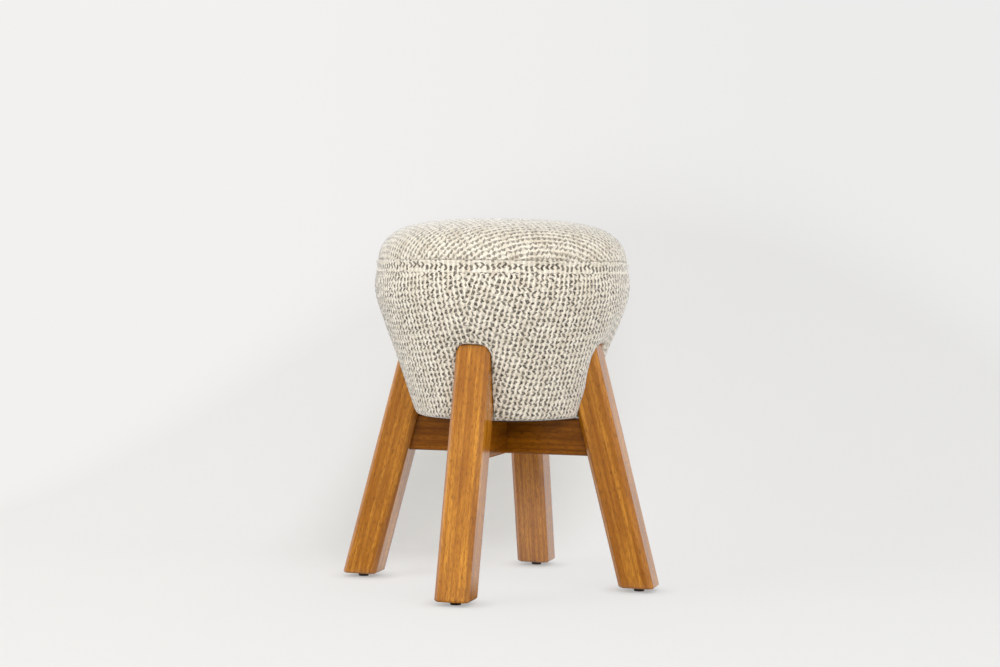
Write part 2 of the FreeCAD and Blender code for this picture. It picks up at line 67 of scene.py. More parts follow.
# Repeats of the grain, twice across and once along it. Real pores are finer and wouldn't show.
STREAK_CELL = (0.009, 0.009, 0.20)
CLOUD_CELL = (0.026, 0.026, 0.075)
RING_CELL = (0.006, 0.006, 0.22)
FLECK_CELL = (0.0026, 0.0026, 0.011)
PORE_CELL = (0.0012, 0.0012, 0.007)
STREAK_FROM, STREAK_TO = 0.36, 0.64
# For each darker pattern: where it starts, where it is full, and its greatest share
CLOUD_STAIN = (0.38, 0.7, 0.55)
RING_STAIN = (0.45, 1.0, 0.45)
FLECK_STAIN = (0.36, 0.7, 0.45)
PORE_STAIN = (0.53, 0.7, 0.65)
RING_WANDER = 5
PORE_DEPTH = 0.0004
PORE_BUMP_SHARE = 0.25
EDGE_ROUND = 0.0025
# At this scale a wave pattern repeats once a unit
WAVE_SCALE = math.tau / 20


def linear(code):
    """An sRGB hex colour as linear red, green, blue and alpha."""
    parts = [int(code[place:place + 2], 16) / 255 for place in (1, 3, 5)]
    return [part / 12.92 if part <= 0.04045 else ((part + 0.055) / 1.055) ** 2.4 for part in parts] + [1.0]


def add(tree, kind, sockets=None, **settings):
    """Add a shader node: its settings, and for each socket a value or another node's output."""
    made = tree.nodes.new(f"ShaderNode{kind}")
    for name, value in settings.items():
        setattr(made, name, value)
    for name, value in (sockets or {}).items():
        if isinstance(value, bpy.types.NodeSocket):
            tree.links.new(value, made.inputs[name])
        else:
            made.inputs[name].default_value = value
    return made


def start_material(name, **sockets):
    """Start a material: returns it, its node tree and its surface shader."""
    material = bpy.data.materials.new(name)
    material.use_nodes = True
    shader = material.node_tree.nodes["Principled BSDF"]
    for socket, value in sockets.items():
        shader.inputs[socket.replace("_", " ")].default_value = value
    return material, material.node_tree, shader


def lacquered_timber(name, tones, coat_share, lean, turn, pith):
    """Hardwood under satin lacquer, with its grain leaning and turned as the piece is."""
    # The eye gets a soft broad gloss over streaked honey tones, with faint rings and short dark pores
    # along the grain.
    material, tree, shader = start_material(
        name, Roughness=TIMBER_ROUGHNESS, Specular_IOR_Level=0.0, Coat_Weight=coat_share,
        Coat_Roughness=LACQUER_ROUGHNESS, Coat_IOR=LACQUER_IOR)
    light, middle, dark, pore = (linear(tone) for tone in tones)
    coords = add(tree, "TexCoord").outputs["Object"]
    streak_space, cloud_space, ring_space, fleck_space, pore_space = (
        add(tree, "Mapping", {"Vector": coords, "Location": pith, "Rotation": (0, lean, turn), "Scale": cell},
            vector_type="TEXTURE").outputs[0]
        for cell in (STREAK_CELL, CLOUD_CELL, RING_CELL, FLECK_CELL, PORE_CELL)
    )
    streaks = add(tree, "TexNoise", {"Vector": streak_space, "Scale": 1, "Detail": 4,
                                     "Roughness": 0.6}).outputs[0]
    clouds = add(tree, "TexNoise", {"Vector": cloud_space, "Scale": 1, "Detail": 2}).outputs[0]
    rings = add(tree, "TexWave", {"Vector": ring_space, "Scale": WAVE_SCALE, "Distortion": RING_WANDER,
                                  "Detail": 3, "Detail Scale": 0.4},
                wave_type="RINGS", rings_direction="Z").outputs[1]
    flecks = add(tree, "TexNoise", {"Vector": fleck_space, "Scale": 1, "Detail": 3}).outputs[0]
    pores = add(tree, "TexNoise", {"Vector": pore_space, "Scale": 1, "Detail": 2}).outputs[0]
    tone = add(tree, "MapRange", {"Value": streaks, 1: STREAK_FROM, 2: STREAK_TO}).outputs[0]
    colour = add(tree, "Mix", {0: tone, 6: middle, 7: light}, data_type="RGBA").outputs[2]
    for pattern, (start, full, most), stain in ((clouds, CLOUD_STAIN, dark), (rings, RING_STAIN, dark),
                                                (flecks, FLECK_STAIN, dark), (pores, PORE_STAIN, pore)):
        share = add(tree, "MapRange", {"Value": pattern, 1: start, 2: full, 3: 0, 4: most}).outputs[0]
        colour = add(tree, "Mix", {0: share, 6: colour, 7: stain}, data_type="RGBA").outputs[2]
    tree.links.new(colour, shader.inputs["Base Color"])
    eased = add(tree, "Bevel", {"Radius": EDGE_ROUND}, samples=8).outputs[0]
    bump = add(tree, "Bump", {"Height": pores, "Strength": PORE_BUMP_SHARE, "Distance": PORE_DEPTH,
                              "Normal": eased}, invert=True).outputs[0]
    tree.links.new(bump, shader.inputs["Normal"])
    return material


def finish_node(node, material):
    """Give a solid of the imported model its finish."""
    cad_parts[node].data.materials.clear()
    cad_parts[node].data.materials.append(material)


for step, (side, turn) in enumerate(LEG_TURNS.items()):
    pith = LEG_PITH + step * LEG_PITH_STEP
    finish_node(f"leg_{side}", lacquered_timber(f"lacquered timber, {side} leg", LEG_TONES, LEG_COAT_SHARE,
                                                -LEG_TILT, turn, pith))
for step, (rail, turn) in enumerate(RAIL_TURNS.items()):
    pith = RAIL_PITH + step * RAIL_PITH_STEP
    finish_node(f"cross_rail_{rail}", lacquered_timber(f"lacquered timber, {rail} rail", RAIL_TONES_WITH_PAINTED_SHADE,
                                                       RAIL_COAT_SHARE, QUARTER_TURN, turn, pith))

# Foot glides
# A small round pad under each leg that lets the stool slide without marking the floor.
# It is injection moulded in dark polyethylene and nailed to the end of the leg.

GLIDE_COLOUR = "#2B201A"
GLIDE_SPECK = "#45362C"
GLIDE_ROUGHNESS = 0.5
GLIDE_IOR = 1.51
# The grain of the mould is finer than this and wouldn't show
GLIDE_GRAIN = 0.0004
GLIDE_GRAIN_DEPTH = 0.0001
GLIDE_BUMP_SHARE = 0.3

# Moulded polyethylene gives the eye a near-black, waxy surface with a dull highlight and a faint speckle.
glide_plastic, tree, shader = start_material("moulded polyethylene, dark", Roughness=GLIDE_ROUGHNESS,
                                             IOR=GLIDE_IOR)
coords = add(tree, "TexCoord").outputs["Object"]
grit = add(tree, "TexNoise", {"Vector": coords, "Scale": 1 / GLIDE_GRAIN, "Detail": 2}).outputs[0]
speck = add(tree, "Mix", {0: grit, 6: linear(GLIDE_COLOUR), 7: linear(GLIDE_SPECK)},
            data_type="RGBA").outputs[2]
tree.links.new(speck, shader.inputs["Base Color"])
bump = add(tree, "Bump", {"Height": grit, "Strength": GLIDE_BUMP_SHARE,
                          "Distance": GLIDE_GRAIN_DEPTH}).outputs[0]
tree.links.new(bump, shader.inputs["Normal"])
for side in LEG_TURNS:
    finish_node(f"glide_{side}", glide_plastic)

# Nails, screws, bolts and washers
# Cold-headed steel with a bright zinc plating. Nails hold the glides, and screws the boards and rails.
# The bolts pull each leg to its block and run into turned brass inserts in the leg.

ZINC_BRIGHT = "#C6C8C6"
ZINC_CLOUD = "#9B9C98"
BRASS_BRIGHT = "#C9A45B"
BRASS_CLOUD = "#9A7A3C"
PLATING_CLOUD = 0.004
METAL_SMOOTHEST, METAL_ROUGHEST = 0.28, 0.48
ZINC_NODES = ("glide_nails", "leg_bolts", "bolt_washers", "base_board_screws", "top_board_screws",
              "rail_screws")


def clouded_metal(name, bright, cloud):
    """Metal whose tone and gloss cloud over a few millimetres."""
    # Zinc gives the eye a cool grey gleam with dull clouds, and brass the same in a warm yellow.
    material, tree, shader = start_material(name, Metallic=1.0)
    coords = add(tree, "TexCoord").outputs["Object"]
    clouds = add(tree, "TexNoise", {"Vector": coords, "Scale": 1 / PLATING_CLOUD, "Detail": 4}).outputs[0]
    colour = add(tree, "Mix", {0: clouds, 6: linear(bright), 7: linear(cloud)}, data_type="RGBA").outputs[2]
    tree.links.new(colour, shader.inputs["Base Color"])
    rough = add(tree, "MapRange", {"Value": clouds, 3: METAL_SMOOTHEST, 4: METAL_ROUGHEST}).outputs[0]
    tree.links.new(rough, shader.inputs["Roughness"])
    return material


zinc = clouded_metal("zinc-plated steel", ZINC_BRIGHT, ZINC_CLOUD)
brass = clouded_metal("turned brass", BRASS_BRIGHT, BRASS_CLOUD)
for node in ZINC_NODES:
    finish_node(node, zinc)
finish_node("leg_inserts", brass)

# Boards and leg blocks
# The hidden carcass: two discs of birch plywood, and wedges of plain sawn hardwood between them.
# The boards are screwed to the wedges, and the wedges carry the raked inner faces of the legs.

PLY_FACE = "#D8B98A"
PLY_GLUE = "#8F6B42"
PLY_VENEER = 0.0015
PLY_WANDER = 0.4
PLY_GRAIN_CELL = (0.002, 0.06, 0.002)
PLY_ROUGHNESS = 0.65
BLOCK_PALE = "#CDAA78"
BLOCK_DARK = "#A9814F"
BLOCK_GRAIN_CELL = (0.002, 0.002, 0.05)
BLOCK_ROUGHNESS = 0.75
SAW_STEP = 0.0016
SAW_DEPTH = 0.0002
SAW_BUMP_SHARE = 0.3

# Birch plywood gives the eye pale straight-grained faces and edges striped by darker layers.
plywood, tree, shader = start_material("birch plywood", Roughness=PLY_ROUGHNESS)
coords = add(tree, "TexCoord").outputs["Object"]
layers = add(tree, "TexWave", {"Vector": coords, "Scale": WAVE_SCALE / (2 * PLY_VENEER),
                               "Distortion": PLY_WANDER}, bands_direction="Z").outputs[1]
fibres = add(tree, "Mapping", {"Vector": coords, "Scale": PLY_GRAIN_CELL}, vector_type="TEXTURE").outputs[0]
grain = add(tree, "TexNoise", {"Vector": fibres, "Scale": 1, "Detail": 4}).outputs[0]
share = add(tree, "Math", {0: layers, 1: grain}, operation="MULTIPLY").outputs[0]
colour = add(tree, "Mix", {0: share, 6: linear(PLY_FACE), 7: linear(PLY_GLUE)}, data_type="RGBA").outputs[2]
tree.links.new(colour, shader.inputs["Base Color"])
for node in ("base_board", "top_board"):
    finish_node(node, plywood)

# Sawn hardwood gives the eye a dull straight grain crossed by the marks of the saw.
sawn_hardwood, tree, shader = start_material("sawn hardwood", Roughness=BLOCK_ROUGHNESS)
coords = add(tree, "TexCoord").outputs["Object"]
fibres = add(tree, "Mapping", {"Vector": coords, "Scale": BLOCK_GRAIN_CELL}, vector_type="TEXTURE").outputs[0]
grain = add(tree, "TexNoise", {"Vector": fibres, "Scale": 1, "Detail": 4}).outputs[0]
colour = add(tree, "Mix", {0: grain, 6: linear(BLOCK_PALE), 7: linear(BLOCK_DARK)},
             data_type="RGBA").outputs[2]
tree.links.new(colour, shader.inputs["Base Color"])
saw_marks = add(tree, "TexWave", {"Vector": coords, "Scale": WAVE_SCALE / SAW_STEP},
                bands_direction="Z").outputs[1]
bump = add(tree, "Bump", {"Height": saw_marks, "Strength": SAW_BUMP_SHARE, "Distance": SAW_DEPTH}).outputs[0]
tree.links.new(bump, shader.inputs["Normal"])
for side in LEG_TURNS:
    finish_node(f"leg_block_{side}", sawn_hardwood)

# Side of the seat
# Four cut panels of a chunky two-tone weave, sewn into a bowl over a foam collar, with a seam above each leg.
# The cover is pulled in round the legs and stapled under the base board, and the foam pushes it out.

HEM_RADIUS = 0.064
BOTTOM_RADIUS = 0.1036
BOTTOM_LEVEL = 0.2074
BOTTOM_ROUND = 0.010
BELLY_RADIUS = 0.1596
BELLY_LEVEL = 0.365
BELLY_ROUND = 0.070
SIDE_TOP_RADIUS = 0.1544
SIDE_TOP_LEVEL = 0.3828
ARC_POINTS = 25
# The cloth turned in at the hem and under the seam band
HEM_TURN_IN = 0.004
SIDE_TOP_TURN_IN = 0.006
TURN_IN_RISE = 0.002
TURN_IN_LENGTH = 0.006
# The leg, and the rounded opening that the cover leaves for it
LEG_INNER_AT_TOP = 0.0786
LEG_OUTER_AT_TOP = 0.1224
LEG_HALF = 0.021
LEG_CHAMFER = 0.005
LEG_CLEAR = 0.0005
SLOT_HALF = 0.0214
SLOT_TOP = 0.2984
SLOT_ROUND = 0.013
SLOT_RISE = 0.0006
SLOT_BOTTOM_RADIUS = 0.1018
# The cover's return into the opening, in steps: a share of the way to the leg's inner face, and the most
# that it may go in
WALL_SHARES = (0.2, 0.5, 1.0)
WALL_DEPTHS = (0.0025, 0.008, math.inf)
# How deep the cover is pulled in at a leg, level by level, and how it eases out beside the leg
DIP_LEVELS = (0.207, 0.225, 0.245, 0.262, 0.285, SLOT_TOP, 0.312, 0.330, 0.350)
DIP_DEPTHS = (0.0005, 0.0015, 0.003, 0.007, 0.011, 0.0070, 0.0036, 0.0012, 0.0)
DIP_ASIDE = 0.013
DIP_EASE = 1.3
VALLEY_LEVELS = (SLOT_TOP, 0.325)
VALLEY_HALVES = (SLOT_HALF, 0.0)
SEAM_DIP = 0.0012
# The mesh before it is made finer, and the push of the foam
GRID_STEP = 0.0053
SLOT_COLUMNS = 6
PANEL_COLUMNS = 36
QUARTER_COLUMNS = 2 * SLOT_COLUMNS + PANEL_COLUMNS
COVER_LEVELS = 2
SIDE_PRESSURE = 4.0
SIDE_SWELL_CAP = 0.0035
SWELL_FRAMES = 20
SWELL_QUALITY = 6
COVER_MASS = 0.2
COVER_STRETCH_STIFFNESS = 25
COVER_BEND_STIFFNESS = 2
# One repeat of the weave, and how it lies on a panel
WEAVE_WIDE = 0.0064
WEAVE_TALL = 0.0067
PANEL_GRAIN_TURN = math.radians(5)
PANEL_FAN_SHARE = 0.32
YARN_RELIEF = 0.0004
CREAM = "#F0E9DB"
CREAM_SHADE = "#D3C8B6"
STRAY_YARN = "#A79B88"
TAUPE = "#3F362C"
CHARCOAL = "#201A13"
# Thick and thin places along a yarn, its strands, and its fibres, which are drawn coarser than real to show
YARN_SLUB = 0.018
STRAND = 0.0017
FIBRE = 0.0007
WOOL_ROUGHNESS = 0.9
WOOL_SHEEN_ROUGHNESS = 0.35
WOOL_SPECULAR_SHARE = 0.2
SLUB_FROM, SLUB_TO = 0.3, 0.58
STRAY_FROM, STRAY_TO = 0.46, 0.66
STRAY_SHARE = 0.6
FIBRE_RELIEF_SHARE = 0.35
YARN_DEPTH = 0.0007
YARN_BUMP_SHARE = 0.6
# The dark yarn, in shares of a repeat: how it wanders, how far a stroke swings, where it sits, how wide it is
DRIFT_SCALE = 0.7
DRIFT_UP_SHARE = 0.75
SWING_LEAST_SHARE, SWING_MOST_SHARE = 0.25, 1.3
PERCH_LOW_SHARE, PERCH_HIGH_SHARE = 0.22, 0.62
LINK_EDGE_SHARE, STROKE_EDGE_SHARE = 0.31, 0.475
STROKE_CORE_SHARE = 0.74
STROKE_LEAST_SHARE = 0.85
RAGGED_SHARE = 0.3
COLUMN_EDGE_SHARE, COLUMN_CORE_SHARE = 0.42, 0.14
COLUMN_SHARE = 0.22
WORN_FROM, WORN_TO = 0.48, 0.68
WORN_SHARE = 0.5
COVER_WEAVE = {"tall": WEAVE_TALL, "zigzags": 0.85, "sway_share": 1.1, "slip_share": 0.35, "link_share": 0.45,
               "fade_shares": (0.44, 0.22)}


def rounded_outline(corners):
    """A fine half outline through corners, each given as radius, level and the size of its rounding."""
    places = [Vector(corner[:2]) for corner in corners]
    points = [places[0]]
    for before, here, after, corner in zip(places, places[1:], places[2:], corners[1:]):
        inward, outward = (before - here).normalized(), (after - here).normalized()
        reach = corner[2] * math.tan(0.5 * (math.pi - inward.angle(outward)))
        start, end = here + reach * inward, here + reach * outward
        for share in np.linspace(0, 1, ARC_POINTS):
            points.append(start * (1 - share) ** 2 + here * 2 * share * (1 - share) + end * share ** 2)
    points.append(places[-1])
    return np.array(points)


def lengths_along(points):
    """Distance along a line of points, from its first."""
    return np.concatenate([[0], np.cumsum(np.linalg.norm(np.diff(points, axis=0), axis=1))])


def evenly_spaced(points, stops, step):
    """Points along an outline about a step apart, with one at each stop."""
    along = lengths_along(points)
    marks = [0.0, *stops, along[-1]]
    runs = [
        np.linspace(low, high, max(2, round((high - low) / step) + 1))[:-1]
        for low, high in zip(marks, marks[1:])
    ]
    wanted = np.append(np.concatenate(runs), along[-1])
    return np.column_stack([np.interp(wanted, along, points[:, axis]) for axis in (0, 1)])


def new_piece(name, form):
    """Make an object of a finished bmesh."""
    mesh = bpy.data.meshes.new(name)
    form.to_mesh(mesh)
    form.free()
    piece = bpy.data.objects.new(name, mesh)
    bpy.context.scene.collection.objects.link(piece)
    return piece


def taken_shape(piece):
    """Put what a piece's modifiers make of it into its own mesh."""
    view = bpy.context.evaluated_depsgraph_get()
    shaped = bpy.data.meshes.new_from_object(piece.evaluated_get(view), preserve_all_data_layers=True,
                                             depsgraph=view)
    piece.modifiers.clear()
    piece.data = shaped


def swell(piece, held, pressure, cap):
    """Let the padding push a cover out: held points stay still, and no point moves further than the cap."""
    count = len(piece.data.vertices)
    rest = np.empty(count * 3)
    piece.data.vertices.foreach_get("co", rest)
    rest = rest.reshape(-1, 3)
    piece.vertex_groups.new(name="held").add(held, 1.0, "REPLACE")
    cloth = piece.modifiers.new("padding", "CLOTH")
    cloth.settings.quality = SWELL_QUALITY
    cloth.settings.mass = COVER_MASS
    cloth.settings.tension_stiffness = COVER_STRETCH_STIFFNESS
    cloth.settings.compression_stiffness = COVER_STRETCH_STIFFNESS
    cloth.settings.bending_stiffness = COVER_BEND_STIFFNESS
    cloth.settings.vertex_group_mass = "held"
    cloth.settings.use_pressure = True
    cloth.settings.uniform_pressure_force = pressure
    cloth.settings.effector_weights.gravity = 0
    cloth.point_cache.frame_end = SWELL_FRAMES
    for moment in range(1, SWELL_FRAMES + 1):
        bpy.context.scene.frame_set(moment)
    taken_shape(piece)
    bpy.context.scene.frame_set(1)
    piece.vertex_groups.clear()
    moved = np.empty(count * 3)
    piece.data.vertices.foreach_get("co", moved)
    shift = moved.reshape(-1, 3) - rest
    far = np.linalg.norm(shift, axis=1, keepdims=True)
    soft = cap * np.tanh(far / cap) / np.maximum(far, 1e-9)
    piece.data.vertices.foreach_set("co", (rest + shift * soft).ravel())
    piece.data.update()


def draw_finer(piece, levels):
    """Divide a cover's mesh smoothly, then close the openings that the carcass fills."""
    finer = piece.modifiers.new("finer", "SUBSURF")
    finer.levels = finer.render_levels = levels
    finer.uv_smooth = "NONE"
    taken_shape(piece)
    form = bmesh.new()
    form.from_mesh(piece.data)
    bmesh.ops.holes_fill(form, edges=[edge for edge in form.edges if edge.is_boundary], sides=0)
    bmesh.ops.recalc_face_normals(form, faces=form.faces)
    form.to_mesh(piece.data)
    form.free()
    piece.data.shade_smooth()


def raise_yarns(piece, relief):
    """Round the cover's yarns in the mesh: ridges between the weave's cells and dips inside them."""
    mesh = piece.data
    uv = np.empty(len(mesh.loops) * 2)
    mesh.uv_layers["weave"].data.foreach_get("uv", uv)
    corner = np.empty(len(mesh.loops), int)
    mesh.loops.foreach_get("vertex_index", corner)
    cells = np.zeros((len(mesh.vertices), 2))
    cells[corner] = uv.reshape(-1, 2) / (WEAVE_WIDE, WEAVE_TALL)
    place, normal = np.empty(len(mesh.vertices) * 3), np.empty(len(mesh.vertices) * 3)
    mesh.vertices.foreach_get("co", place)
    mesh.vertices.foreach_get("normal", normal)
    height = relief * 0.5 * np.cos(math.tau * cells).sum(axis=1)
    mesh.vertices.foreach_set("co", (place.reshape(-1, 3) + normal.reshape(-1, 3) * height[:, None]).ravel())
    mesh.update()


def opening_edge(aside, up):
    """Move a point of a leg opening, aside and up from its top, from a square outline to a rounded one."""
    for_side = aside >= SLOT_HALF
    from_corner = -up if for_side else SLOT_HALF - aside
    if from_corner < SLOT_ROUND:
        turn = math.pi / 4 * (1 - from_corner / SLOT_ROUND if for_side else 1 + from_corner / SLOT_ROUND)
        aside = SLOT_HALF - SLOT_ROUND * (1 - math.cos(turn))
        up = SLOT_ROUND * (math.sin(turn) - 1)
    return aside, up + SLOT_RISE * (1 - (aside / SLOT_HALF) ** 2)


def wound_yarn(tree, weave, strands, tall, zigzags, sway_share, slip_share, link_share, fade_shares,
               dark_share):
    """How much the dark yarn shows at a point, and a lot drawn for each repeat of the weave.

    In each repeat it is a ragged slanted stroke that thins out to a link. A faint column runs through them.
    """
    cells = add(tree, "Mapping", {"Vector": weave, "Scale": (WEAVE_WIDE, tall, 1)},
                vector_type="TEXTURE").outputs[0]
    drift = add(tree, "TexNoise", {"Vector": cells, "Scale": DRIFT_SCALE, "Detail": 4, "Roughness": 0.8},
                noise_dimensions="2D").outputs[1]
    swayed = add(tree, "VectorMath", {0: drift, 1: (sway_share, DRIFT_UP_SHARE * sway_share, 0), 2: cells},
                 operation="MULTIPLY_ADD").outputs[0]
    number = add(tree, "VectorMath", {0: swayed}, operation="FLOOR").outputs[0]
    within = add(tree, "VectorMath", {0: swayed}, operation="FRACTION").outputs[0]
    inside = add(tree, "SeparateXYZ", {0: within}).outputs
    chance = add(tree, "TexWhiteNoise", {"Vector": number}, noise_dimensions="2D").outputs
    lots = add(tree, "SeparateXYZ", {0: chance[1]}).outputs

    slip = add(tree, "Math", {0: lots[2], 1: slip_share}, operation="MULTIPLY").outputs[0]
    climb = add(tree, "Math", {0: inside[1], 1: zigzags, 2: slip}, operation="MULTIPLY_ADD").outputs[0]
    zigzag = add(tree, "Math", {0: climb, 1: 0.5}, operation="PINGPONG").outputs[0]
    side = add(tree, "Math", {0: zigzag, 1: 0.25}, operation="SUBTRACT").outputs[0]
    swing = add(tree, "MapRange", {"Value": lots[0], 3: SWING_LEAST_SHARE, 4: SWING_MOST_SHARE}).outputs[0]
    middle = add(tree, "Math", {0: side, 1: swing, 2: 0.5}, operation="MULTIPLY_ADD").outputs[0]
    off = add(tree, "Math", {0: inside[0], 1: middle}, operation="SUBTRACT").outputs[0]
    off = add(tree, "Math", {0: off}, operation="ABSOLUTE").outputs[0]
    off = add(tree, "Math", {0: strands, 1: RAGGED_SHARE, 2: off}, operation="MULTIPLY_ADD").outputs[0]

    perch = add(tree, "MapRange", {"Value": chance[0], 3: PERCH_LOW_SHARE, 4: PERCH_HIGH_SHARE}).outputs[0]
    rise = add(tree, "Math", {0: inside[1], 1: perch}, operation="SUBTRACT").outputs[0]
    rise = add(tree, "Math", {0: rise}, operation="ABSOLUTE").outputs[0]
    stroke = add(tree, "MapRange", {"Value": rise, 1: fade_shares[0], 2: fade_shares[1]},
                 interpolation_type="SMOOTHSTEP").outputs[0]
    edge = add(tree, "MapRange", {"Value": stroke, 3: LINK_EDGE_SHARE, 4: STROKE_EDGE_SHARE}).outputs[0]
    core = add(tree, "Math", {0: edge, 1: STROKE_CORE_SHARE}, operation="MULTIPLY").outputs[0]
    mark = add(tree, "MapRange", {"Value": off, 1: edge, 2: core, 3: 0, 4: 1},
               interpolation_type="SMOOTHSTEP").outputs[0]
    weight = add(tree, "MapRange", {"Value": lots[1], 3: STROKE_LEAST_SHARE, 4: 1}).outputs[0]
    weight = add(tree, "MapRange", {"Value": stroke, 3: link_share, 4: weight}).outputs[0]
    mark = add(tree, "Math", {0: mark, 1: weight}, operation="MULTIPLY").outputs[0]

    apart = add(tree, "Math", {0: inside[0], 1: 0.5}, operation="SUBTRACT").outputs[0]
    apart = add(tree, "Math", {0: apart}, operation="ABSOLUTE").outputs[0]
    column = add(tree, "MapRange", {"Value": apart, 1: COLUMN_EDGE_SHARE, 2: COLUMN_CORE_SHARE, 3: 0,
                                    4: COLUMN_SHARE}, interpolation_type="SMOOTHSTEP").outputs[0]
    mark = add(tree, "Math", {0: mark, 1: column}, operation="MAXIMUM").outputs[0]
    worn = add(tree, "MapRange", {"Value": strands, 1: WORN_FROM, 2: WORN_TO, 3: dark_share,
                                  4: WORN_SHARE * dark_share}).outputs[0]
    mark = add(tree, "Math", {0: mark, 1: worn}, operation="MULTIPLY").outputs[0]
    return mark, lots[2]


def chunky_weave(name, dark_share, **look):
    """Thick cream cords with a dark yarn winding between them."""
    # The eye gets a dry, fuzzy cloth of soft cream ridges, broken by small dark strokes of uneven weight.
    material, tree, shader = start_material(
        name, Roughness=WOOL_ROUGHNESS, Sheen_Weight=1.0, Sheen_Roughness=WOOL_SHEEN_ROUGHNESS,
        Specular_IOR_Level=WOOL_SPECULAR_SHARE)
    weave = add(tree, "UVMap", uv_map="weave").outputs[0]
    slubs = add(tree, "TexNoise", {"Vector": weave, "Scale": 1 / YARN_SLUB, "Detail": 5, "Roughness": 0.8},
                noise_dimensions="2D").outputs[0]
    strands = add(tree, "TexNoise", {"Vector": weave, "Scale": 1 / STRAND, "Detail": 2, "Roughness": 0.7},
                  noise_dimensions="2D").outputs[0]
    fibres = add(tree, "TexNoise", {"Vector": weave, "Scale": 1 / FIBRE, "Detail": 2},
                 noise_dimensions="2D").outputs[0]
    mark, lot = wound_yarn(tree, weave, strands, dark_share=dark_share, **look)
    shade = add(tree, "MapRange", {"Value": slubs, 1: SLUB_FROM, 2: SLUB_TO}).outputs[0]
    yarn = add(tree, "Mix", {0: shade, 6: linear(CREAM_SHADE), 7: linear(CREAM)}, data_type="RGBA").outputs[2]
    stray = add(tree, "MapRange", {"Value": strands, 1: STRAY_FROM, 2: STRAY_TO, 3: 0,
                                   4: STRAY_SHARE}).outputs[0]
    yarn = add(tree, "Mix", {0: stray, 6: yarn, 7: linear(STRAY_YARN)}, data_type="RGBA").outputs[2]
    dark = add(tree, "Mix", {0: lot, 6: linear(TAUPE), 7: linear(CHARCOAL)}, data_type="RGBA").outputs[2]
    colour = add(tree, "Mix", {0: mark, 6: yarn, 7: dark}, data_type="RGBA").outputs[2]
    tree.links.new(colour, shader.inputs["Base Color"])
    fuzz = add(tree, "Math", {0: fibres, 1: FIBRE_RELIEF_SHARE}, operation="MULTIPLY").outputs[0]
    height = add(tree, "Math", {0: fuzz, 1: mark}, operation="SUBTRACT").outputs[0]
    bump = add(tree, "Bump", {"Height": height, "Strength": YARN_BUMP_SHARE,
                              "Distance": YARN_DEPTH}).outputs[0]
    tree.links.new(bump, shader.inputs["Normal"])
    return material


side_outline = rounded_outline([
    (HEM_RADIUS, BOTTOM_LEVEL, 0),
    (BOTTOM_RADIUS, BOTTOM_LEVEL, BOTTOM_ROUND),
    (BELLY_RADIUS, BELLY_LEVEL, BELLY_ROUND),
    (SIDE_TOP_RADIUS, SIDE_TOP_LEVEL, 0),
])
side_along = lengths_along(side_outline)
widest = int(side_outline[:, 0].argmax())
slot_low = float(np.interp(SLOT_BOTTOM_RADIUS, side_outline[:widest, 0], side_along[:widest]))
slot_high = float(np.interp(SLOT_TOP, side_outline[:, 1], side_along))
side_rows = evenly_spaced(side_outline, [slot_low, slot_high], GRID_STEP)
row_along = lengths_along(side_rows)
low_row = int(abs(row_along - slot_low).argmin())
high_row = int(abs(row_along - slot_high).argmin())
last_row = len(side_rows) - 1

bowl = bmesh.new()
line = [bowl.verts.new((radius, 0, level)) for radius, level in side_rows]
runs = [bowl.edges.new(pair) for pair in zip(line, line[1:])]
bmesh.ops.spin(bowl, geom=line + runs, cent=(0, 0, 0), axis=(0, 0, 1), angle=math.tau,
               steps=4 * QUARTER_COLUMNS, use_merge=True)
row_mark = bowl.verts.layers.int.new("row")
near_mark = bowl.verts.layers.int.new("near")
along_mark = bowl.verts.layers.float.new("along")
angle_mark = bowl.verts.layers.float.new("angle")
tuck_mark = bowl.verts.layers.float.new("tuck")

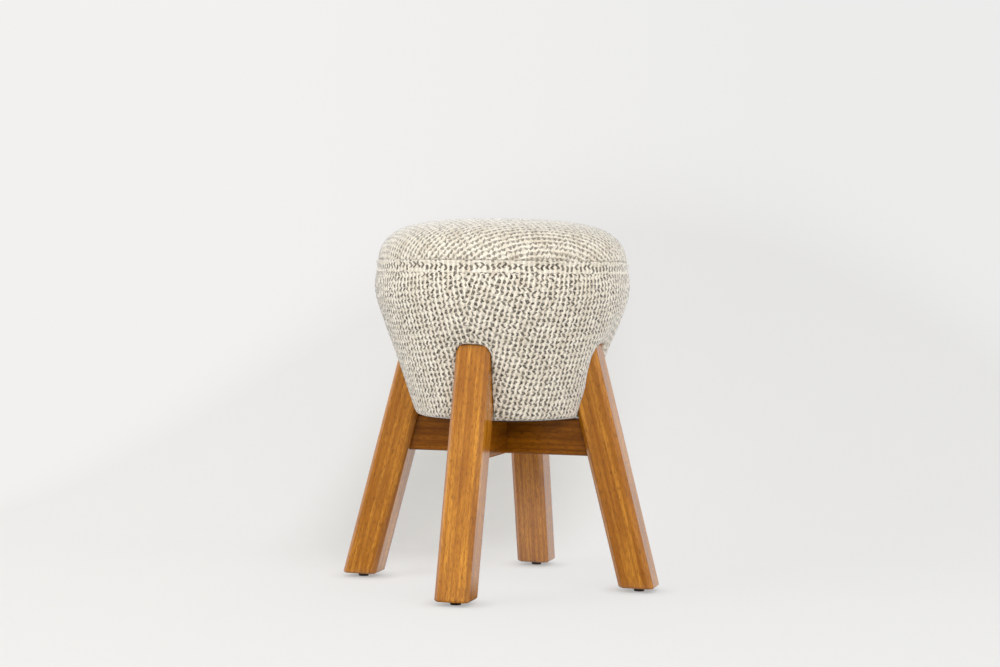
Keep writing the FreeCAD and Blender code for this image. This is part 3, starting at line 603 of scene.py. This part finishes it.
# Each point goes to its place round a leg opening, and in where the leg pulls the cover
for vert in bowl.verts:
    spot = Vector((vert.co.xy.length, vert.co.z))
    row = int(np.linalg.norm(side_rows - np.array(spot), axis=1).argmin())
    column = round(math.atan2(vert.co.y, vert.co.x) / math.tau * 4 * QUARTER_COLUMNS) % (4 * QUARTER_COLUMNS)
    quarter, step = divmod(column, QUARTER_COLUMNS)
    near = min(step, QUARTER_COLUMNS - step)
    along = row_along[row]
    at_edge = low_row < row <= high_row and near == SLOT_COLUMNS or row == high_row and near < SLOT_COLUMNS
    if at_edge:
        aside, up = opening_edge(SLOT_HALF * near / SLOT_COLUMNS, along - slot_high)
        along = slot_high + up
    radius, level = (float(np.interp(along, row_along, side_rows[:, axis])) for axis in (0, 1))
    slot_turn = math.asin(SLOT_HALF / radius)
    stops = [0, SLOT_COLUMNS, QUARTER_COLUMNS - SLOT_COLUMNS, QUARTER_COLUMNS]
    turn = float(np.interp(step, stops, [0, slot_turn, QUARTER_TURN - slot_turn, QUARTER_TURN]))
    if at_edge:
        turn = math.asin(aside / radius) if step == near else QUARTER_TURN - math.asin(aside / radius)
    angle = quarter * QUARTER_TURN + turn
    leg_turn = (quarter + (turn > QUARTER_TURN / 2)) * QUARTER_TURN
    ahead = Vector((math.cos(leg_turn), math.sin(leg_turn), 0))
    aside = abs(radius * math.sin(angle - leg_turn))
    apart = max(0, aside - np.interp(level, VALLEY_LEVELS, VALLEY_HALVES)) / DIP_ASIDE
    dip = np.interp(level, DIP_LEVELS, DIP_DEPTHS) * math.exp(-apart ** DIP_EASE)
    seam = near == 0 and row >= high_row
    dip = max(dip, SEAM_DIP * seam)
    if near <= SLOT_COLUMNS and low_row < row <= high_row and aside < LEG_HALF:
        leg_face = LEG_OUTER_AT_TOP + (SLOT_TOP - level) * math.tan(LEG_TILT) + LEG_CLEAR
        leg_face -= max(0, aside - LEG_HALF + LEG_CHAMFER)
        dip = min(dip, radius * math.cos(angle - leg_turn) - leg_face)
    vert.co = Vector((radius * math.cos(angle), radius * math.sin(angle), level)) - ahead * dip
    vert[row_mark], vert[near_mark], vert[along_mark], vert[angle_mark] = row, near, along, angle

openings = [
    face for face in bowl.faces
    if all(vert[near_mark] <= SLOT_COLUMNS and low_row <= vert[row_mark] <= high_row for vert in face.verts)
]
bmesh.ops.delete(bowl, geom=openings, context="FACES")

# The cover returns along the leg into each opening
for share, depth in zip(WALL_SHARES, WALL_DEPTHS):
    rims = [edge for edge in bowl.edges if edge.is_boundary
            and all(0 < vert[row_mark] < last_row for vert in edge.verts)]
    wall = bmesh.ops.extrude_edge_only(bowl, edges=rims)["geom"]
    for vert in (item for item in wall if isinstance(item, bmesh.types.BMVert)):
        leg_turn = round(vert[angle_mark] / QUARTER_TURN) * QUARTER_TURN
        ahead = Vector((math.cos(leg_turn), math.sin(leg_turn), 0))
        leg_face = LEG_INNER_AT_TOP + (SLOT_TOP - vert.co.z) * math.tan(LEG_TILT)
        room = max(0.0, vert.co.dot(ahead) - leg_face)
        inward = min(room * share, depth)
        vert.co -= ahead * inward
        vert[tuck_mark] += inward

# The hem is turned in under the base board, and the upper edge under the seam band
turn_ins = {0: (HEM_RADIUS - HEM_TURN_IN, BOTTOM_LEVEL + TURN_IN_RISE),
            last_row: (SIDE_TOP_RADIUS - SIDE_TOP_TURN_IN, SIDE_TOP_LEVEL + TURN_IN_RISE)}
for row, (radius, level) in turn_ins.items():
    rim = [edge for edge in bowl.edges if edge.is_boundary
           and all(vert[row_mark] == row for vert in edge.verts)]
    turned_in = bmesh.ops.extrude_edge_only(bowl, edges=rim)["geom"]
    for vert in (item for item in turned_in if isinstance(item, bmesh.types.BMVert)):
        vert.co = (radius * math.cos(vert[angle_mark]), radius * math.sin(vert[angle_mark]), level)
        vert[tuck_mark] += TURN_IN_LENGTH
bmesh.ops.recalc_face_normals(bowl, faces=bowl.faces)

# The weave fans out over each panel, mirrored from one to the next
fan_reach = side_rows[high_row][0] / PANEL_FAN_SHARE - slot_high
weave_map = bowl.loops.layers.uv.new("weave")
for face in bowl.faces:
    middle = face.calc_center_median()
    quarter = math.floor(math.atan2(middle.y, middle.x) / QUARTER_TURN)
    panel = (quarter + 0.5) * QUARTER_TURN
    mirror = 1 if quarter % 2 else -1
    for loop in face.loops:
        off = (loop.vert[angle_mark] - panel + math.pi) % math.tau - math.pi
        reach = fan_reach + loop.vert[along_mark]
        across = reach * math.sin(PANEL_FAN_SHARE * off) + math.copysign(loop.vert[tuck_mark], off)
        up = reach * math.cos(PANEL_FAN_SHARE * off)
        loop[weave_map].uv = ((across - math.tan(PANEL_GRAIN_TURN) * up) * mirror, up)

bowl.verts.index_update()
held = [
    vert.index for vert in bowl.verts
    if vert[row_mark] <= low_row or vert[row_mark] >= last_row - 1 or vert[tuck_mark] > 0
    or vert[near_mark] == 0
    or vert[near_mark] <= SLOT_COLUMNS and low_row <= vert[row_mark] <= high_row
]
seat_side = new_piece("seat_side", bowl)
swell(seat_side, held, SIDE_PRESSURE, SIDE_SWELL_CAP)
draw_finer(seat_side, COVER_LEVELS)
raise_yarns(seat_side, YARN_RELIEF)
seat_side.data.materials.append(chunky_weave("chunky weave, cream and taupe", 1.0, **COVER_WEAVE))
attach(seat_side, "root")
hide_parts("side_foam", "upper_foam", "side_panel_back_right", "side_panel_back_left",
            "side_panel_front_left", "side_panel_front_right")

# Top of the seat
# One round panel of the same weave over a domed crown of foam.
# It is eased over the shoulder and sewn into the seam band all round.

CROWN_TOP = 0.4475
CROWN_DOME = 1.3
CROWN_EDGE_RADIUS = 0.1507
CROWN_EDGE_LEVEL = 0.4388
TOP_LOW_RADIUS = 0.1522
TOP_LOW_LEVEL = 0.3964
TOP_TURN_IN_SHARE = 0.96
TOP_TURN_IN_DROP = 0.002
DOME_REACH = 0.084
DOME_POINTS = 13
SHOULDER_POINTS = 41
TOP_WEAVE_TURN = math.radians(-54)
TOP_PRESSURE = 4.0
TOP_SWELL_CAP = 0.0025
# The dark yarn on the crown is drawn paler: painted light, for the brighter light that falls on the top
TOP_DARK_SHARE_PAINTED_PALER = 0.8


def round_grid(segments):
    """A square grid drawn out to a disc of radius 1, with no pole in the middle."""
    form = bmesh.new()
    bmesh.ops.create_grid(form, x_segments=segments, y_segments=segments, size=1)
    for vert in form.verts:
        across, ahead = vert.co.xy
        vert.co.xy = (across * math.sqrt(1 - ahead ** 2 / 2), ahead * math.sqrt(1 - across ** 2 / 2))
    return form


dome = [np.array((radius, CROWN_TOP - CROWN_DOME + math.sqrt(CROWN_DOME ** 2 - radius ** 2)))
        for radius in np.linspace(0, DOME_REACH, DOME_POINTS)]
shoulder_edge = np.array((CROWN_EDGE_RADIUS, CROWN_EDGE_LEVEL))
shoulder_low = np.array((TOP_LOW_RADIUS, TOP_LOW_LEVEL))
shoulder = [
    (1 - share) ** 2 * dome[-1] + 2 * share * (1 - share) * shoulder_edge + share ** 2 * shoulder_low
    for share in np.linspace(0, 1, SHOULDER_POINTS)
]
top_outline = np.array(dome[:-1] + shoulder)
top_along = lengths_along(top_outline)
top_reach = top_along[-1]

crown = round_grid(round(2 * top_reach / GRID_STEP))
top_map = crown.loops.layers.uv.new("weave")
turn_to_weave = Matrix.Rotation(-TOP_WEAVE_TURN, 2)
for face in crown.faces:
    for loop in face.loops:
        loop[top_map].uv = turn_to_weave @ (loop.vert.co.xy * top_reach)
for vert in crown.verts:
    share = min(1.0, vert.co.xy.length)
    way = vert.co.xy.normalized() if share > 0 else Vector((0, 0))
    radius, level = (float(np.interp(share * top_reach, top_along, top_outline[:, axis])) for axis in (0, 1))
    vert.co = (way.x * radius, way.y * radius, level)
rim = [edge for edge in crown.edges if edge.is_boundary]
held = {vert for edge in rim for vert in edge.verts}
turned_in = bmesh.ops.extrude_edge_only(crown, edges=rim)["geom"]
inner_rim = [item for item in turned_in if isinstance(item, bmesh.types.BMVert)]
for vert in inner_rim:
    vert.co = (vert.co.x * TOP_TURN_IN_SHARE, vert.co.y * TOP_TURN_IN_SHARE, TOP_LOW_LEVEL - TOP_TURN_IN_DROP)
held |= set(inner_rim)
bmesh.ops.recalc_face_normals(crown, faces=crown.faces)
crown.verts.index_update()
held = [vert.index for vert in held]
seat_top = new_piece("seat_top", crown)
swell(seat_top, held, TOP_PRESSURE, TOP_SWELL_CAP)
draw_finer(seat_top, COVER_LEVELS)
raise_yarns(seat_top, YARN_RELIEF)
seat_top.data.materials.append(chunky_weave("chunky weave, top painted paler", TOP_DARK_SHARE_PAINTED_PALER, **COVER_WEAVE))
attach(seat_top, "root")
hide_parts("crown_foam", "top_panel")

# Seam band
# A strip of the cover's cloth folded over two cords, so that it shows as a double ridge.
# It is sewn in between the side and the top.

BAND_LEVEL = 0.390
BAND_RADIUS = 0.1541
# Out from the band's radius and up from its level: the lower cord, the flat between, the upper cord
BAND_PROFILE = [
    (-0.003, -0.0088), (-0.0002, -0.0082), (0.0008, -0.0071), (0.0009, -0.0056), (0.0002, -0.0044),
    (-0.0003, -0.002), (-0.0003, 0.002),
    (0.0002, 0.0036), (0.0010, 0.0044), (0.0012, 0.0056), (0.0006, 0.0070), (-0.003, 0.0078),
]
BAND_COLUMNS = 300
BAND_LEVELS = 1
BAND_WEAVE_LOW = 0.0036
BAND_WEAVE = {"tall": 0.0106, "zigzags": 1.5, "sway_share": 0.4, "slip_share": 1.0, "link_share": 0.0,
              "fade_shares": (0.42, 0.28)}

band = bmesh.new()
ring = [band.verts.new((BAND_RADIUS + out, 0, BAND_LEVEL + up)) for out, up in BAND_PROFILE]
runs = [band.edges.new(pair) for pair in zip(ring, ring[1:] + ring[:1])]
bmesh.ops.spin(band, geom=ring + runs, cent=(0, 0, 0), axis=(0, 0, 1), angle=math.tau, steps=BAND_COLUMNS,
               use_merge=True)
bmesh.ops.recalc_face_normals(band, faces=band.faces)
band_map = band.loops.layers.uv.new("weave")
for face in band.faces:
    middle = face.calc_center_median()
    face_turn = math.atan2(middle.y, middle.x)
    for loop in face.loops:
        off = (math.atan2(loop.vert.co.y, loop.vert.co.x) - face_turn + math.pi) % math.tau - math.pi
        turn = face_turn + off
        loop[band_map].uv = (BAND_RADIUS * turn, loop.vert.co.z - BAND_LEVEL + BAND_WEAVE_LOW)
seam_band = new_piece("seam_welt", band)
draw_finer(seam_band, BAND_LEVELS)
seam_band.data.materials.append(chunky_weave("chunky weave, folded band", 1.0, **BAND_WEAVE))
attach(seam_band, "root")
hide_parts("seam_band")

# Dust cover
# A disc of thin black spun-bonded cloth that hides the turned-in hem.
# It is stapled up under the base board, held by the crossed rails, and sags a little between them.

DUST_RADIUS = 0.0872
DUST_LEVEL = 0.2064
DUST_THICK = 0.0006
DUST_SAG = 0.0016
DUST_SQUARES = 44
RAIL_HALF = 0.012
DUST_CLOTH = "#26262A"
DUST_CLOTH_PALE = "#3B3B40"
DUST_ROUGHNESS = 0.85
DUST_SHEEN_SHARE = 0.1
BOND_SPACE = 0.0018
BOND_DEPTH = 0.0003
BOND_BUMP_SHARE = 0.4

cloth = round_grid(DUST_SQUARES)
for vert in cloth.verts:
    vert.co.xy *= DUST_RADIUS
    clear = min(1.0, max(0.0, min(abs(vert.co.x), abs(vert.co.y)) - RAIL_HALF) / RAIL_HALF)
    rim_room = min(1.0, (DUST_RADIUS - vert.co.xy.length) / RAIL_HALF)
    vert.co.z = DUST_LEVEL - DUST_SAG * clear * rim_room
dust_cover = new_piece("dust_cloth", cloth)
thick = dust_cover.modifiers.new("thick", "SOLIDIFY")
thick.thickness = DUST_THICK
thick.offset = 0
dust_cover.data.shade_smooth()

# Spun-bonded cloth gives the eye a flat black with a fine grid of paler pressed dots and stray filaments.
spun_cloth, tree, shader = start_material("spun-bonded cloth, black", Roughness=DUST_ROUGHNESS,
                                          Sheen_Weight=DUST_SHEEN_SHARE)
coords = add(tree, "TexCoord").outputs["Object"]
bonds = add(tree, "TexVoronoi", {"Vector": coords, "Scale": 1 / BOND_SPACE}).outputs[0]
filaments = add(tree, "TexNoise", {"Vector": coords, "Scale": 2 / BOND_SPACE, "Detail": 5,
                                   "Distortion": 2}).outputs[0]
pattern = add(tree, "Math", {0: bonds, 1: filaments}, operation="MULTIPLY").outputs[0]
colour = add(tree, "Mix", {0: pattern, 6: linear(DUST_CLOTH), 7: linear(DUST_CLOTH_PALE)},
             data_type="RGBA").outputs[2]
tree.links.new(colour, shader.inputs["Base Color"])
bump = add(tree, "Bump", {"Height": pattern, "Strength": BOND_BUMP_SHARE, "Distance": BOND_DEPTH}).outputs[0]
tree.links.new(bump, shader.inputs["Normal"])
dust_cover.data.materials.append(spun_cloth)
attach(dust_cover, "root")
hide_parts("dust_cover")

# Studio
# A roll of pale matt paper swept up close behind the stool, with flat floor beyond its bend for views from
# the back. One softbox hangs over the camera and one stands to each side. The camera has a long lens.

PAPER_FLOOR = "#E2E1DF"
# The wall is painted darker than the floor of the same paper: painted shade for the shadow behind the legs
PAPER_WALL_PAINTED_SHADE = "#B8B7B4"
PAPER_BOUNCE = "#E0E0E0"
# A darker grey that the near paper shows only in glossy reflections: a painted dim reflection
PAPER_PAINTED_DIM_REFLECTION = "#707070"
BACKDROP_LEFT = "#F3F1EF"
BACKDROP_RIGHT = "#ECECEB"
BACKDROP_HALF = 0.43
PAPER_ROUGHNESS = 0.9
PAPER_SPECULAR_SHARE = 0.1
SWEEP_HALF = 6.0
SWEEP_FRONT = -6.0
SWEEP_BACK = 0.88
SWEEP_ROUND = 0.6
SWEEP_TALL = 5.0
SWEEP_SEGMENTS = 32
# The soft shadow behind the legs, where the paper shows lit and not glowing, deepened by the wall's painted
# shade: its place and half sizes, and how much of it is full
SHADOW_PLACE = (-0.20, 0.5, 0.0)
SHADOW_SIZE = (0.27, 0.56, 1.0)
SHADOW_CORE_SHARE = 0.3
SHADOW_GLOW_SHARE = 0.0
FLOOR_GLOW_SHARE = 0.75
# How far and how deep the painted contact shadow under the feet reaches
CONTACT_REACH = 0.028
CONTACT_SHADE_SHARE = 0.55
MIRRORED_FROM = -0.12
MIRRORED_FULL = 0.05
GLOW_FROM = 0.7
GLOW_FULL = 1.1
ROOM_COLOUR = "#FFFDF8"
ROOM_LEVEL = 0.49
LAMP_AIM = Vector((0, 0, 0.25))
# For each lamp its place, its width and its power in watts
LAMPS = {
    "softbox over the camera": ((1.08, -2.42, 1.45), 1.0, 28.5),
    "left softbox": ((-2.22, -1.86, 1.03), 2.2, 55),
    "right softbox": ((2.23, -1.04, 1.35), 2.0, 27.5),
}
CAMERA_PLACE = Vector((0.7093, -2.4460, 0.3846))
CAMERA_TURN = math.radians(16.220)
CAMERA_PITCH = math.radians(1.725)
CAMERA_ROLL = math.radians(0.695)
CAMERA_LENS = 74.59

floor_form = bmesh.new()
line = ((SWEEP_FRONT, 0), (SWEEP_BACK, 0), (SWEEP_BACK, SWEEP_TALL))
sweep = [floor_form.verts.new((-SWEEP_HALF, depth, level)) for depth, level in line]
runs = [floor_form.edges.new(pair) for pair in zip(sweep, sweep[1:])]
drawn = bmesh.ops.extrude_edge_only(floor_form, edges=runs)["geom"]
far_side = [item for item in drawn if isinstance(item, bmesh.types.BMVert)]
bmesh.ops.translate(floor_form, verts=far_side, vec=(2 * SWEEP_HALF, 0, 0))
cove = [edge for edge in floor_form.edges if len(edge.link_faces) == 2]
bmesh.ops.bevel(floor_form, geom=cove, offset=SWEEP_ROUND, segments=SWEEP_SEGMENTS, profile=0.5,
                affect="EDGES", material=-1)
if min(face.normal.z for face in floor_form.faces) < -0.5:
    bmesh.ops.reverse_faces(floor_form, faces=floor_form.faces)
back_floor = Matrix.Translation((0, SWEEP_BACK - SWEEP_ROUND + SWEEP_HALF, 0)) @ Matrix.Scale(SWEEP_HALF, 4)
bmesh.ops.create_grid(floor_form, x_segments=1, y_segments=1, size=1, matrix=back_floor)
floor = new_piece("floor", floor_form)
floor.data.shade_smooth()

# Matt paper gives the eye an even pale ground that takes soft shadows. It glows at its own tone to the
# camera, and its far part does so to glossy reflections, which adds nothing to the diffuse light.
# From behind it is clear.
paper, tree, shader = start_material("matt paper", Roughness=PAPER_ROUGHNESS,
                                     Specular_IOR_Level=PAPER_SPECULAR_SHARE)
path = add(tree, "LightPath").outputs
seen = path["Is Camera Ray"]
reflected = path["Is Glossy Ray"]
coords = add(tree, "TexCoord").outputs["Object"]
depth = add(tree, "SeparateXYZ", {0: coords}).outputs[1]
rising = add(tree, "MapRange", {"Value": depth, 1: SWEEP_BACK - SWEEP_ROUND, 2: SWEEP_BACK}).outputs[0]
# The floor's tone darkens into the wall's painted shade as the paper rises
lit = add(tree, "Mix", {0: rising, 6: linear(PAPER_FLOOR), 7: linear(PAPER_WALL_PAINTED_SHADE)},
          data_type="RGBA").outputs[2]
lit = add(tree, "Mix", {0: seen, 6: linear(PAPER_BOUNCE), 7: lit}, data_type="RGBA").outputs[2]
# In glossy reflections the near paper turns to the painted dim reflection's grey
lit = add(tree, "Mix", {0: reflected, 6: lit, 7: linear(PAPER_PAINTED_DIM_REFLECTION)}, data_type="RGBA").outputs[2]
tree.links.new(lit, shader.inputs["Base Color"])
away = add(tree, "VectorMath", {0: coords}, operation="LENGTH").outputs[1]
far_glow = add(tree, "MapRange", {"Value": away, 1: GLOW_FROM, 2: GLOW_FULL},
               interpolation_type="SMOOTHSTEP").outputs[0]
shadow_space = add(tree, "Mapping", {"Vector": coords, "Location": SHADOW_PLACE, "Scale": SHADOW_SIZE},
                   vector_type="TEXTURE").outputs[0]
from_shadow = add(tree, "VectorMath", {0: shadow_space}, operation="LENGTH").outputs[1]
near_glow = add(tree, "MapRange", {"Value": from_shadow, 1: SHADOW_CORE_SHARE, 2: 1, 3: SHADOW_GLOW_SHARE,
                                   4: FLOOR_GLOW_SHARE}, interpolation_type="SMOOTHSTEP").outputs[0]
glow_share = add(tree, "Math", {0: far_glow, 1: near_glow}, operation="MAXIMUM").outputs[0]
glow_share = add(tree, "Math", {0: glow_share, 1: seen}, operation="MULTIPLY").outputs[0]
mirror_share = add(tree, "MapRange", {"Value": depth, 1: MIRRORED_FROM, 2: MIRRORED_FULL}).outputs[0]
mirror_share = add(tree, "Math", {0: reflected, 1: mirror_share}, operation="MULTIPLY").outputs[0]
glow_share = add(tree, "Math", {0: glow_share, 1: mirror_share}, operation="MAXIMUM").outputs[0]
aside = add(tree, "VectorMath", {0: coords, 1: (math.cos(CAMERA_TURN), math.sin(CAMERA_TURN), 0)},
            operation="DOT_PRODUCT").outputs[1]
to_right = add(tree, "MapRange", {"Value": aside, 1: -BACKDROP_HALF, 2: BACKDROP_HALF}).outputs[0]
tone = add(tree, "Mix", {0: to_right, 6: linear(BACKDROP_LEFT), 7: linear(BACKDROP_RIGHT)},
           data_type="RGBA").outputs[2]
# Near the stool's feet the paper's glow is dimmed by ambient occlusion: a painted contact shadow
open_share = add(tree, "AmbientOcclusion", {"Distance": CONTACT_REACH}, samples=8).outputs[1]
painted_contact_shade = add(tree, "MapRange", {"Value": open_share, 3: CONTACT_SHADE_SHARE, 4: 1}).outputs[0]
glow = add(tree, "Emission", {"Color": tone, "Strength": painted_contact_shade}).outputs[0]
front = add(tree, "MixShader", {0: glow_share, 1: shader.outputs[0], 2: glow}).outputs[0]
back = add(tree, "NewGeometry").outputs["Backfacing"]
clear = add(tree, "BsdfTransparent").outputs[0]
both = add(tree, "MixShader", {0: back, 1: front, 2: clear}).outputs[0]
tree.links.new(both, tree.nodes["Material Output"].inputs["Surface"])
floor.data.materials.append(paper)

world = bpy.data.worlds.new("studio")
bpy.context.scene.world = world
world.use_nodes = True
tree = world.node_tree
room = tree.nodes["Background"]
room.inputs["Color"].default_value = linear(ROOM_COLOUR)
room.inputs["Strength"].default_value = ROOM_LEVEL
wall = add(tree, "Background", {"Color": linear(BACKDROP_LEFT), "Strength": 1.0}).outputs[0]
seen = add(tree, "LightPath").outputs["Is Camera Ray"]
both = add(tree, "MixShader", {0: seen, 1: room.outputs[0], 2: wall}).outputs[0]
tree.links.new(both, tree.nodes["World Output"].inputs["Surface"])

for name, (place, size, power) in LAMPS.items():
    lamp = bpy.data.lights.new(name, "AREA")
    lamp.size = size
    lamp.energy = power
    holder = bpy.data.objects.new(name, lamp)
    holder.location = place
    holder.rotation_euler = (LAMP_AIM - Vector(place)).to_track_quat("-Z", "Y").to_euler()
    holder.visible_glossy = False
    bpy.context.scene.collection.objects.link(holder)

camera = bpy.data.objects.new("camera", bpy.data.cameras.new("camera"))
camera.data.lens = CAMERA_LENS
camera.location = CAMERA_PLACE
look = Matrix.Rotation(CAMERA_TURN, 4, "Z") @ Matrix.Rotation(QUARTER_TURN - CAMERA_PITCH, 4, "X")
camera.rotation_euler = (look @ Matrix.Rotation(CAMERA_ROLL, 4, "Z")).to_euler()
bpy.context.scene.collection.objects.link(camera)
bpy.context.scene.camera = camera
bpy.context.scene.view_settings.view_transform = "Standard"
